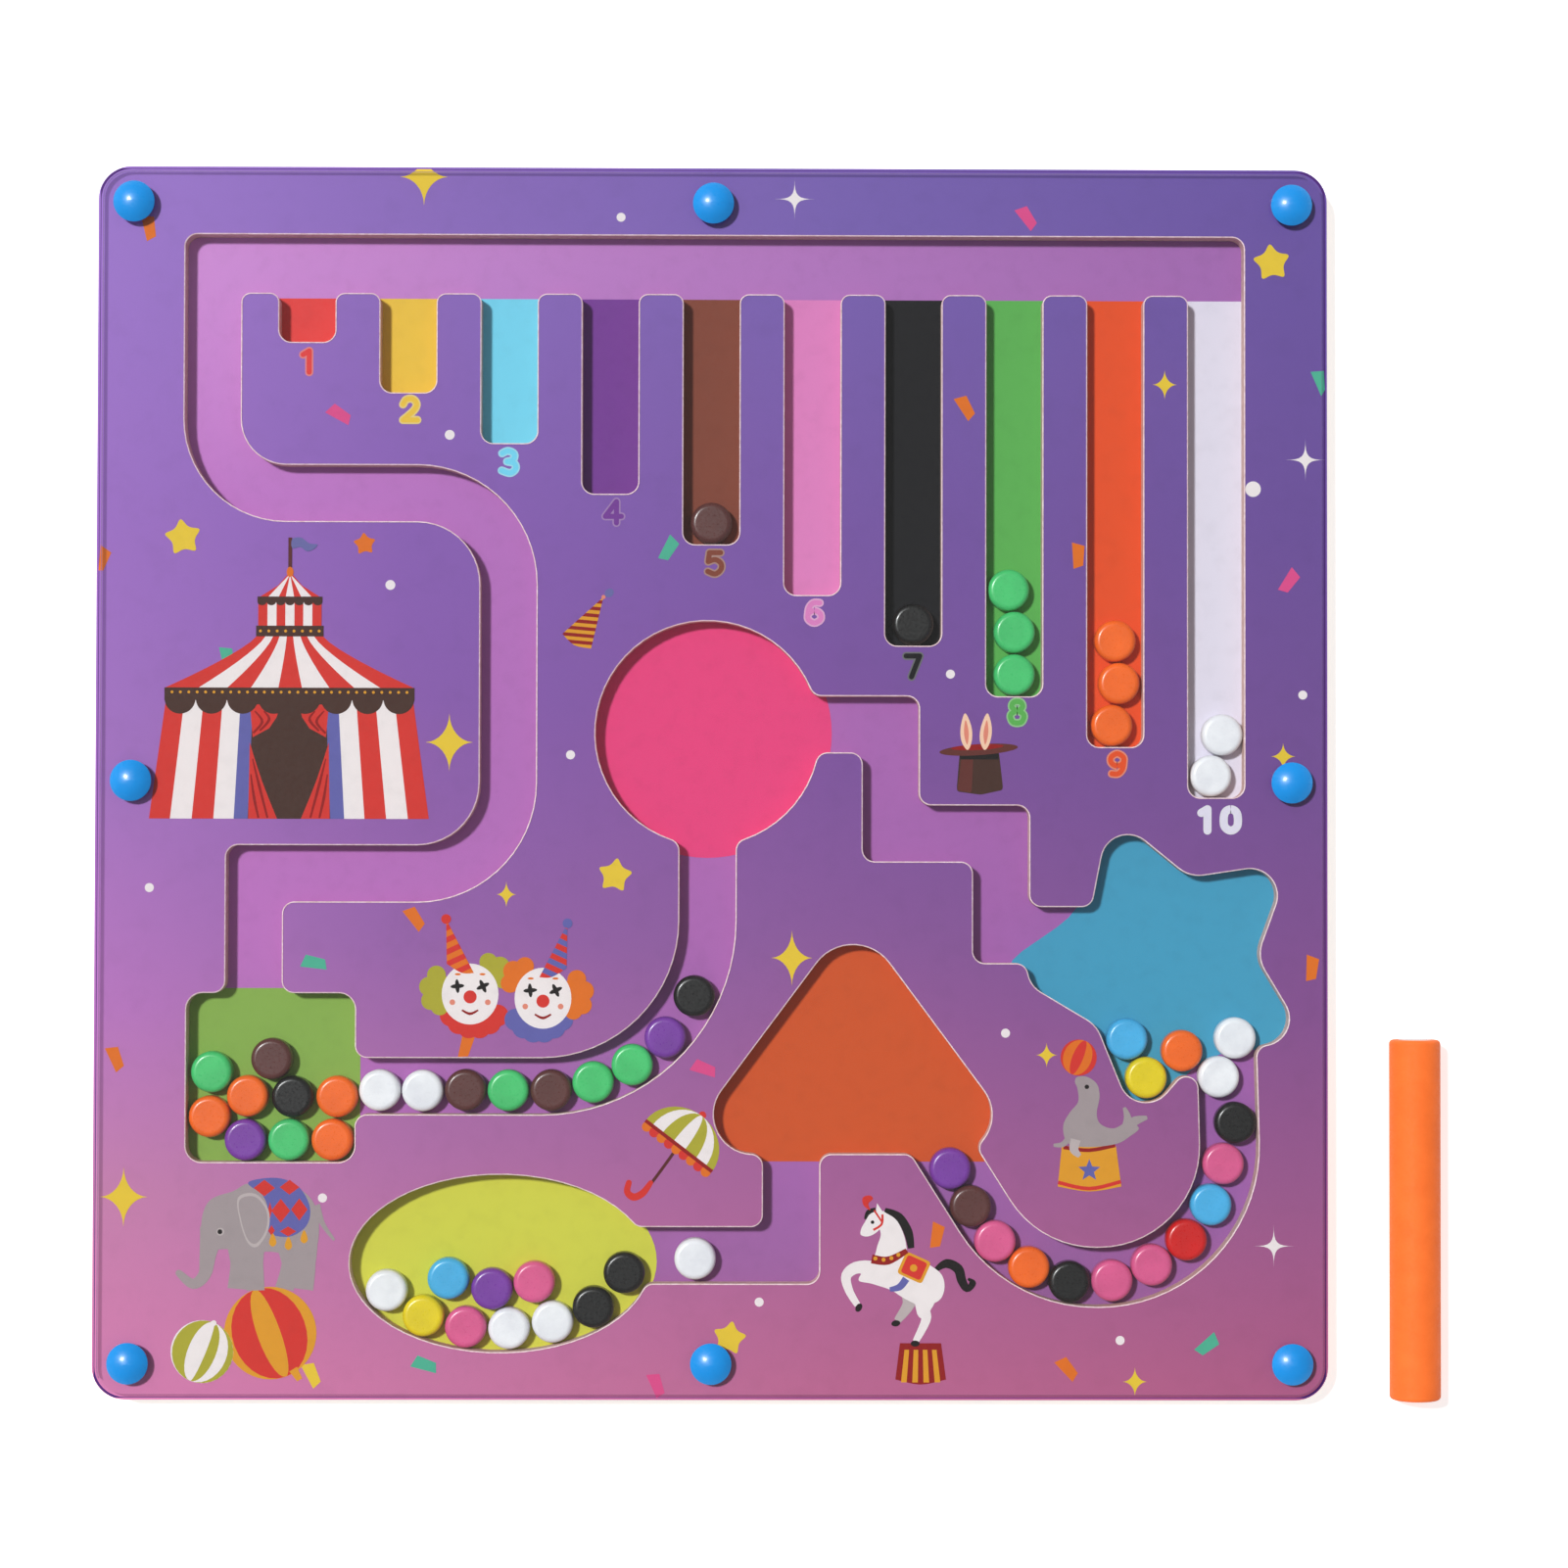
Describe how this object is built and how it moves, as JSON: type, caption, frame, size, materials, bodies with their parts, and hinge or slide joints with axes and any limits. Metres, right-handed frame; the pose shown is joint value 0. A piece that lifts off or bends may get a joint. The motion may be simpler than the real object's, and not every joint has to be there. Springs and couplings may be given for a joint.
{
  "type": "magnetic bead maze board",
  "caption": "Square magnetic maze board with sliding coloured beads under a clear cover, numbered sorting slots, shaped rooms and a magnetic pen.",
  "frame": {"origin": "centre of the board's back face, which rests on the table", "axes": "+Z out of the playing face, +X to the right and +Y to the top of the picture, with the corridor and the slots' open ends at +Y"},
  "size_m": [0.3277, 0.3, 0.0127],
  "materials": {
    "back_wood": "satin",
    "printed_board": "satin print over fibreboard",
    "clear_acrylic": "polished",
    "rivet_blue": "glossy",
    "pen_orange": "satin",
    "bead_red": "glossy",
    "bead_yellow": "glossy",
    "bead_blue": "glossy",
    "bead_purple": "glossy",
    "bead_brown": "glossy",
    "bead_pink": "glossy",
    "bead_black": "glossy",
    "bead_green": "glossy",
    "bead_orange": "glossy",
    "bead_white": "glossy"
  },
  "bodies": {
    "board": {"base_board": "back_wood", "channel_board": "printed_board", "clear_cover": "clear_acrylic", "snap_rivets": "rivet_blue"},
    "magnet_pen": {"magnet_pen": "pen_orange"},
    "bead_brown_1": {"bead_brown_1": "bead_brown"},
    "bead_black_1": {"bead_black_1": "bead_black"},
    "bead_green_1": {"bead_green_1": "bead_green"},
    "bead_green_2": {"bead_green_2": "bead_green"},
    "bead_green_3": {"bead_green_3": "bead_green"},
    "bead_orange_1": {"bead_orange_1": "bead_orange"},
    "bead_orange_2": {"bead_orange_2": "bead_orange"},
    "bead_orange_3": {"bead_orange_3": "bead_orange"},
    "bead_white_1": {"bead_white_1": "bead_white"},
    "bead_white_2": {"bead_white_2": "bead_white"},
    "bead_white_3": {"bead_white_3": "bead_white"},
    "bead_white_4": {"bead_white_4": "bead_white"},
    "bead_brown_2": {"bead_brown_2": "bead_brown"},
    "bead_green_4": {"bead_green_4": "bead_green"},
    "bead_brown_3": {"bead_brown_3": "bead_brown"},
    "bead_green_5": {"bead_green_5": "bead_green"},
    "bead_green_6": {"bead_green_6": "bead_green"},
    "bead_purple_1": {"bead_purple_1": "bead_purple"},
    "bead_black_2": {"bead_black_2": "bead_black"},
    "bead_purple_2": {"bead_purple_2": "bead_purple"},
    "bead_brown_4": {"bead_brown_4": "bead_brown"},
    "bead_pink_1": {"bead_pink_1": "bead_pink"},
    "bead_orange_4": {"bead_orange_4": "bead_orange"},
    "bead_black_3": {"bead_black_3": "bead_black"},
    "bead_pink_2": {"bead_pink_2": "bead_pink"},
    "bead_pink_3": {"bead_pink_3": "bead_pink"},
    "bead_red_1": {"bead_red_1": "bead_red"},
    "bead_blue_1": {"bead_blue_1": "bead_blue"},
    "bead_pink_4": {"bead_pink_4": "bead_pink"},
    "bead_black_4": {"bead_black_4": "bead_black"},
    "bead_green_7": {"bead_green_7": "bead_green"},
    "bead_brown_5": {"bead_brown_5": "bead_brown"},
    "bead_orange_5": {"bead_orange_5": "bead_orange"},
    "bead_black_5": {"bead_black_5": "bead_black"},
    "bead_orange_6": {"bead_orange_6": "bead_orange"},
    "bead_orange_7": {"bead_orange_7": "bead_orange"},
    "bead_purple_3": {"bead_purple_3": "bead_purple"},
    "bead_green_8": {"bead_green_8": "bead_green"},
    "bead_orange_8": {"bead_orange_8": "bead_orange"},
    "bead_white_5": {"bead_white_5": "bead_white"},
    "bead_yellow_1": {"bead_yellow_1": "bead_yellow"},
    "bead_blue_2": {"bead_blue_2": "bead_blue"},
    "bead_pink_5": {"bead_pink_5": "bead_pink"},
    "bead_purple_4": {"bead_purple_4": "bead_purple"},
    "bead_white_6": {"bead_white_6": "bead_white"},
    "bead_pink_6": {"bead_pink_6": "bead_pink"},
    "bead_white_7": {"bead_white_7": "bead_white"},
    "bead_black_6": {"bead_black_6": "bead_black"},
    "bead_black_7": {"bead_black_7": "bead_black"},
    "bead_white_8": {"bead_white_8": "bead_white"},
    "bead_white_9": {"bead_white_9": "bead_white"},
    "bead_orange_9": {"bead_orange_9": "bead_orange"},
    "bead_yellow_2": {"bead_yellow_2": "bead_yellow"},
    "bead_blue_3": {"bead_blue_3": "bead_blue"},
    "bead_white_10": {"bead_white_10": "bead_white"}
  },
  "joints": [
    {"name": "slot_5_brown_1_slide", "type": "slide", "parent": "board", "child": "bead_brown_1", "axis": [0, 1, 0], "range_m": [0, 0.063]},
    {"name": "slot_7_black_1_slide", "type": "slide", "parent": "board", "child": "bead_black_1", "axis": [0, 1, 0], "range_m": [0, 0.0876]},
    {"name": "slot_8_green_1_slide", "type": "slide", "parent": "board", "child": "bead_green_1", "axis": [0, 1, 0], "range_m": [0, 0.0263]},
    {"name": "slot_8_green_2_slide", "type": "slide", "parent": "bead_green_1", "child": "bead_green_2", "axis": [0, 1, 0], "range_m": [0, 0.0263]},
    {"name": "slot_8_green_3_slide", "type": "slide", "parent": "bead_green_2", "child": "bead_green_3", "axis": [0, 1, 0], "range_m": [0, 0.0263]},
    {"name": "slot_9_orange_1_slide", "type": "slide", "parent": "board", "child": "bead_orange_1", "axis": [0, 1, 0], "range_m": [0, 0.0305]},
    {"name": "slot_9_orange_2_slide", "type": "slide", "parent": "bead_orange_1", "child": "bead_orange_2", "axis": [0, 1, 0], "range_m": [0, 0.0305]},
    {"name": "slot_9_orange_3_slide", "type": "slide", "parent": "bead_orange_2", "child": "bead_orange_3", "axis": [0, 1, 0], "range_m": [0, 0.0305]},
    {"name": "slot_10_white_1_slide", "type": "slide", "parent": "board", "child": "bead_white_1", "axis": [0, 1, 0], "range_m": [0, 0.0572]},
    {"name": "slot_10_white_2_slide", "type": "slide", "parent": "bead_white_1", "child": "bead_white_2", "axis": [0, 1, 0], "range_m": [0, 0.0572]},
    {"name": "sweep_purple_1_turn", "type": "hinge", "parent": "board", "child": "bead_purple_1", "pos_m": [-0.0414, -0.0338, 0.0052], "axis": [0, 0, 1], "range_deg": [0, 12]},
    {"name": "sweep_green_6_turn", "type": "hinge", "parent": "board", "child": "bead_green_6", "pos_m": [-0.0414, -0.0338, 0.0052], "axis": [0, 0, 1], "range_deg": [0, 12.5]},
    {"name": "sweep_green_5_turn", "type": "hinge", "parent": "board", "child": "bead_green_5", "pos_m": [-0.0414, -0.0338, 0.0052], "axis": [0, 0, 1], "range_deg": [0, 12.5]},
    {"name": "sweep_brown_3_turn", "type": "hinge", "parent": "board", "child": "bead_brown_3", "pos_m": [-0.0414, -0.0338, 0.0052], "axis": [0, 0, 1], "range_deg": [0, 12.5]},
    {"name": "sweep_green_4_slide", "type": "slide", "parent": "board", "child": "bead_green_4", "axis": [1, 0, 0], "range_m": [0, 0.0092]},
    {"name": "sweep_brown_2_slide", "type": "slide", "parent": "board", "child": "bead_brown_2", "axis": [1, 0, 0], "range_m": [0, 0.0092]},
    {"name": "sweep_white_4_slide", "type": "slide", "parent": "board", "child": "bead_white_4", "axis": [1, 0, 0], "range_m": [0, 0.0092]},
    {"name": "sweep_white_3_slide", "type": "slide", "parent": "board", "child": "bead_white_3", "axis": [1, 0, 0], "range_m": [0, 0.0092]},
    {"name": "sweep_black_2_turn", "type": "hinge", "parent": "bead_purple_1", "child": "bead_black_2", "pos_m": [-0.0414, -0.0338, 0.0052], "axis": [0, 0, 1], "range_deg": [0, 13]},
    {"name": "u_bend_brown_4_slide", "type": "slide", "parent": "board", "child": "bead_brown_4", "axis": [-0.5358, 0.8443, 0], "range_m": [0, 0.007]},
    {"name": "u_bend_purple_2_slide", "type": "slide", "parent": "bead_brown_4", "child": "bead_purple_2", "axis": [-0.5358, 0.8443, 0], "range_m": [0, 0.016]},
    {"name": "u_bend_pink_1_turn", "type": "hinge", "parent": "board", "child": "bead_pink_1", "pos_m": [0.09338, -0.0884, 0.0052], "axis": [0, 0, -1], "range_deg": [0, 12.4]},
    {"name": "u_bend_orange_4_turn", "type": "hinge", "parent": "board", "child": "bead_orange_4", "pos_m": [0.09338, -0.0884, 0.0052], "axis": [0, 0, -1], "range_deg": [0, 12.4]},
    {"name": "u_bend_black_3_turn", "type": "hinge", "parent": "board", "child": "bead_black_3", "pos_m": [0.09338, -0.0884, 0.0052], "axis": [0, 0, -1], "range_deg": [0, 12.4]},
    {"name": "u_bend_pink_2_turn", "type": "hinge", "parent": "board", "child": "bead_pink_2", "pos_m": [0.09421, -0.0884, 0.0052], "axis": [0, 0, -1], "range_deg": [0, 12.4]},
    {"name": "u_bend_pink_3_turn", "type": "hinge", "parent": "board", "child": "bead_pink_3", "pos_m": [0.09421, -0.0884, 0.0052], "axis": [0, 0, -1], "range_deg": [0, 12.4]},
    {"name": "u_bend_red_1_turn", "type": "hinge", "parent": "board", "child": "bead_red_1", "pos_m": [0.09421, -0.0884, 0.0052], "axis": [0, 0, -1], "range_deg": [0, 12.4]},
    {"name": "u_bend_blue_1_turn", "type": "hinge", "parent": "board", "child": "bead_blue_1", "pos_m": [0.09421, -0.0884, 0.0052], "axis": [0, 0, -1], "range_deg": [0, 12.4]},
    {"name": "u_bend_pink_4_turn", "type": "hinge", "parent": "board", "child": "bead_pink_4", "pos_m": [0.09421, -0.0884, 0.0052], "axis": [0, 0, -1], "range_deg": [0, 12.4]},
    {"name": "u_bend_black_4_slide", "type": "slide", "parent": "board", "child": "bead_black_4", "axis": [0.0274, -0.9996, 0], "range_m": [0, 0.0066]},
    {"name": "green_room_brown_5_slide", "type": "slide", "parent": "board", "child": "bead_brown_5", "axis": [0, 1, 0], "range_m": [0, 0.0105]},
    {"name": "green_room_green_7_slide", "type": "slide", "parent": "board", "child": "bead_green_7", "axis": [0, 1, 0], "range_m": [0, 0.0107]},
    {"name": "green_room_orange_5_slide", "type": "slide", "parent": "board", "child": "bead_orange_5", "axis": [0, 1, 0], "range_m": [0, 0.0086]},
    {"name": "green_room_black_5_slide", "type": "slide", "parent": "board", "child": "bead_black_5", "axis": [0, 1, 0], "range_m": [0, 0.0086]},
    {"name": "green_room_orange_7_slide", "type": "slide", "parent": "board", "child": "bead_orange_7", "axis": [0, 1, 0], "range_m": [0, 0.0086]},
    {"name": "green_room_purple_3_slide", "type": "slide", "parent": "board", "child": "bead_purple_3", "axis": [0, 1, 0], "range_m": [0, 0.0065]},
    {"name": "green_room_green_8_slide", "type": "slide", "parent": "board", "child": "bead_green_8", "axis": [0, 1, 0], "range_m": [0, 0.0065]},
    {"name": "green_room_orange_8_slide", "type": "slide", "parent": "board", "child": "bead_orange_8", "axis": [0, 1, 0], "range_m": [0, 0.0065]},
    {"name": "green_room_orange_6_slide", "type": "slide", "parent": "bead_orange_8", "child": "bead_orange_6", "axis": [-0.2588, 0.9659, 0], "range_m": [0, 0.01]},
    {"name": "oval_purple_4_slide", "type": "slide", "parent": "board", "child": "bead_purple_4", "axis": [0, 1, 0], "range_m": [0, 0.016]},
    {"name": "oval_blue_2_slide", "type": "slide", "parent": "board", "child": "bead_blue_2", "axis": [0, 1, 0], "range_m": [0, 0.0162]},
    {"name": "oval_pink_6_slide", "type": "slide", "parent": "board", "child": "bead_pink_6", "axis": [0, 1, 0], "range_m": [0, 0.0162]},
    {"name": "oval_yellow_1_slide", "type": "slide", "parent": "board", "child": "bead_yellow_1", "axis": [-0.1564, 0.9877, 0], "range_m": [0, 0.0114]},
    {"name": "oval_pink_5_slide", "type": "slide", "parent": "board", "child": "bead_pink_5", "axis": [-0.1564, 0.9877, 0], "range_m": [0, 0.0114]},
    {"name": "oval_white_6_slide", "type": "slide", "parent": "board", "child": "bead_white_6", "axis": [-0.1564, 0.9877, 0], "range_m": [0, 0.0114]},
    {"name": "oval_white_7_slide", "type": "slide", "parent": "board", "child": "bead_white_7", "axis": [-0.1564, 0.9877, 0], "range_m": [0, 0.0114]},
    {"name": "oval_white_5_slide", "type": "slide", "parent": "board", "child": "bead_white_5", "axis": [-0.1564, 0.9877, 0], "range_m": [0, 0.0114]},
    {"name": "oval_black_6_slide", "type": "slide", "parent": "board", "child": "bead_black_6", "axis": [-0.5, 0.866, 0], "range_m": [0, 0.004]},
    {"name": "oval_black_7_slide", "type": "slide", "parent": "board", "child": "bead_black_7", "axis": [-0.7071, 0.7071, 0], "range_m": [0, 0.015]},
    {"name": "foot_channel_white_10_slide", "type": "slide", "parent": "board", "child": "bead_white_10", "axis": [1, 0, 0], "range_m": [-0.007, 0.022]},
    {"name": "star_white_9_slide", "type": "slide", "parent": "board", "child": "bead_white_9", "axis": [0, 1, 0], "range_m": [0, 0.014]},
    {"name": "star_white_8_slide", "type": "slide", "parent": "board", "child": "bead_white_8", "axis": [0.5, 0.866, 0], "range_m": [0, 0.0086]},
    {"name": "star_orange_9_slide", "type": "slide", "parent": "board", "child": "bead_orange_9", "axis": [0, 1, 0], "range_m": [0, 0.025]},
    {"name": "star_blue_3_slide", "type": "slide", "parent": "board", "child": "bead_blue_3", "axis": [0, 1, 0], "range_m": [0, 0.02]},
    {"name": "star_yellow_2_slide", "type": "slide", "parent": "board", "child": "bead_yellow_2", "axis": [-0.342, 0.9397, 0], "range_m": [0, 0.0082]},
    {"name": "magnet_pen_lift", "type": "slide", "parent": "board", "child": "magnet_pen", "axis": [0, 0, 1], "range_m": [0, 0.12]}
  ],
  "couplings": [
    {"joint": "sweep_green_6_turn", "follows": "sweep_purple_1_turn", "ratio": 1},
    {"joint": "sweep_green_5_turn", "follows": "sweep_purple_1_turn", "ratio": 1},
    {"joint": "sweep_brown_3_turn", "follows": "sweep_purple_1_turn", "ratio": 1},
    {"joint": "sweep_green_4_slide", "follows": "sweep_purple_1_turn", "m_per_rad": 0.04137},
    {"joint": "sweep_brown_2_slide", "follows": "sweep_purple_1_turn", "m_per_rad": 0.04137},
    {"joint": "sweep_white_4_slide", "follows": "sweep_purple_1_turn", "m_per_rad": 0.04137},
    {"joint": "sweep_white_3_slide", "follows": "sweep_purple_1_turn", "m_per_rad": 0.04137},
    {"joint": "u_bend_pink_1_turn", "follows": "u_bend_brown_4_slide", "rad_per_m": 29.72},
    {"joint": "u_bend_orange_4_turn", "follows": "u_bend_brown_4_slide", "rad_per_m": 29.72},
    {"joint": "u_bend_black_3_turn", "follows": "u_bend_brown_4_slide", "rad_per_m": 29.72},
    {"joint": "u_bend_pink_2_turn", "follows": "u_bend_brown_4_slide", "rad_per_m": 29.72},
    {"joint": "u_bend_pink_3_turn", "follows": "u_bend_brown_4_slide", "rad_per_m": 29.72},
    {"joint": "u_bend_red_1_turn", "follows": "u_bend_brown_4_slide", "rad_per_m": 29.72},
    {"joint": "u_bend_blue_1_turn", "follows": "u_bend_brown_4_slide", "rad_per_m": 29.72},
    {"joint": "u_bend_pink_4_turn", "follows": "u_bend_brown_4_slide", "rad_per_m": 29.72},
    {"joint": "u_bend_black_4_slide", "follows": "u_bend_brown_4_slide", "ratio": 0.9},
    {"joint": "green_room_green_7_slide", "follows": "green_room_brown_5_slide", "ratio": 1},
    {"joint": "green_room_orange_5_slide", "follows": "green_room_brown_5_slide", "ratio": 0.8},
    {"joint": "green_room_black_5_slide", "follows": "green_room_brown_5_slide", "ratio": 0.8},
    {"joint": "green_room_orange_7_slide", "follows": "green_room_brown_5_slide", "ratio": 0.8},
    {"joint": "green_room_purple_3_slide", "follows": "green_room_brown_5_slide", "ratio": 0.6},
    {"joint": "green_room_green_8_slide", "follows": "green_room_brown_5_slide", "ratio": 0.6},
    {"joint": "oval_blue_2_slide", "follows": "oval_purple_4_slide", "ratio": 1},
    {"joint": "oval_pink_6_slide", "follows": "oval_purple_4_slide", "ratio": 1},
    {"joint": "oval_yellow_1_slide", "follows": "oval_purple_4_slide", "ratio": 0.7},
    {"joint": "oval_pink_5_slide", "follows": "oval_purple_4_slide", "ratio": 0.7},
    {"joint": "oval_white_6_slide", "follows": "oval_purple_4_slide", "ratio": 0.7},
    {"joint": "oval_white_7_slide", "follows": "oval_purple_4_slide", "ratio": 0.7},
    {"joint": "oval_white_5_slide", "follows": "oval_purple_4_slide", "ratio": 0.7},
    {"joint": "star_white_8_slide", "follows": "star_white_9_slide", "ratio": 0.6},
    {"joint": "star_yellow_2_slide", "follows": "star_blue_3_slide", "ratio": 0.4}
  ]
}
